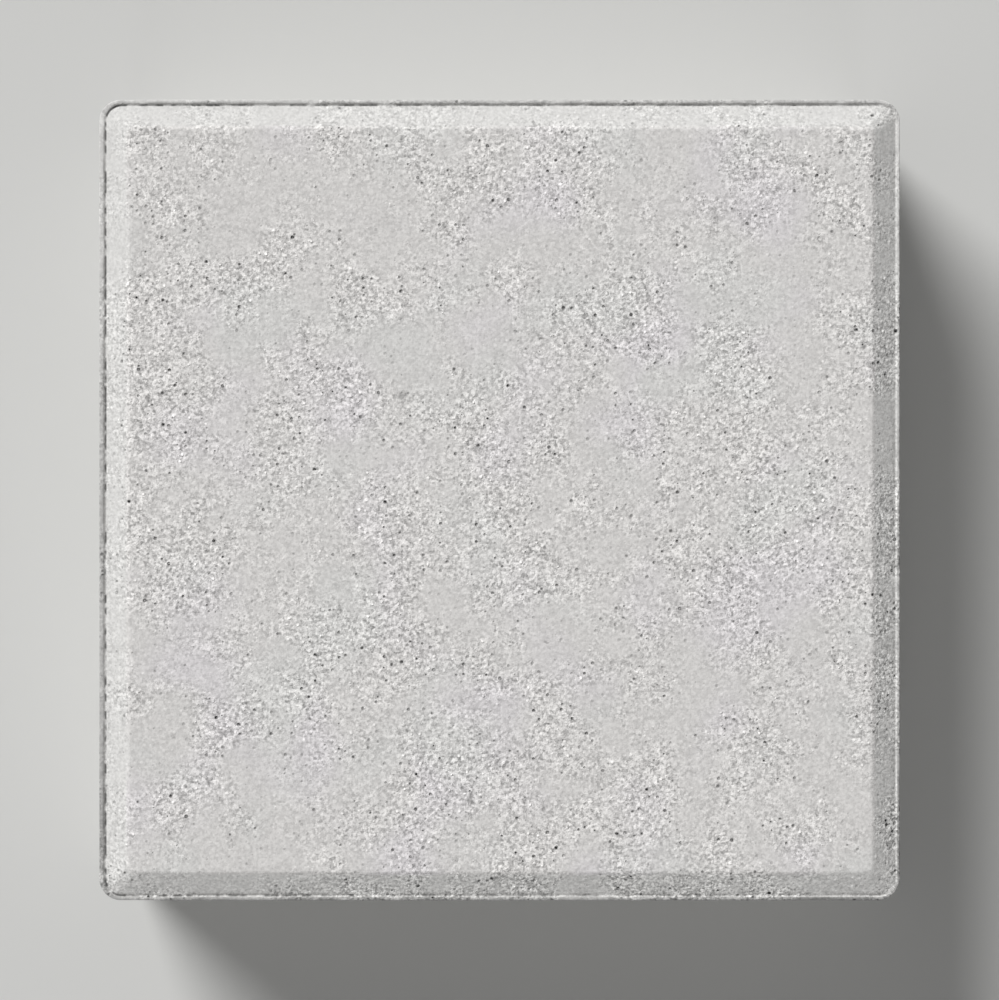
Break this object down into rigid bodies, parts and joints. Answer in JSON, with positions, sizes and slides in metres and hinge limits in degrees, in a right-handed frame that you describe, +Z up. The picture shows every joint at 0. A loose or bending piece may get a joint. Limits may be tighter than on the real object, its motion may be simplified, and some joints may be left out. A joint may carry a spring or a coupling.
{
  "type": "paving stone",
  "caption": "Square paving stone of pressed concrete with a chamfered walked face, rounded upright corners and spacer nibs on its sides.",
  "frame": {"origin": "centre of the underside", "axes": "+Z up through the walked face, +X and +Y square to the sides"},
  "size_m": [0.2, 0.2, 0.06],
  "materials": {
    "concrete": "pressed fine-grained concrete, light grey, matt"
  },
  "bodies": {
    "root": {"paving_stone": "concrete"}
  },
  "joints": []
}
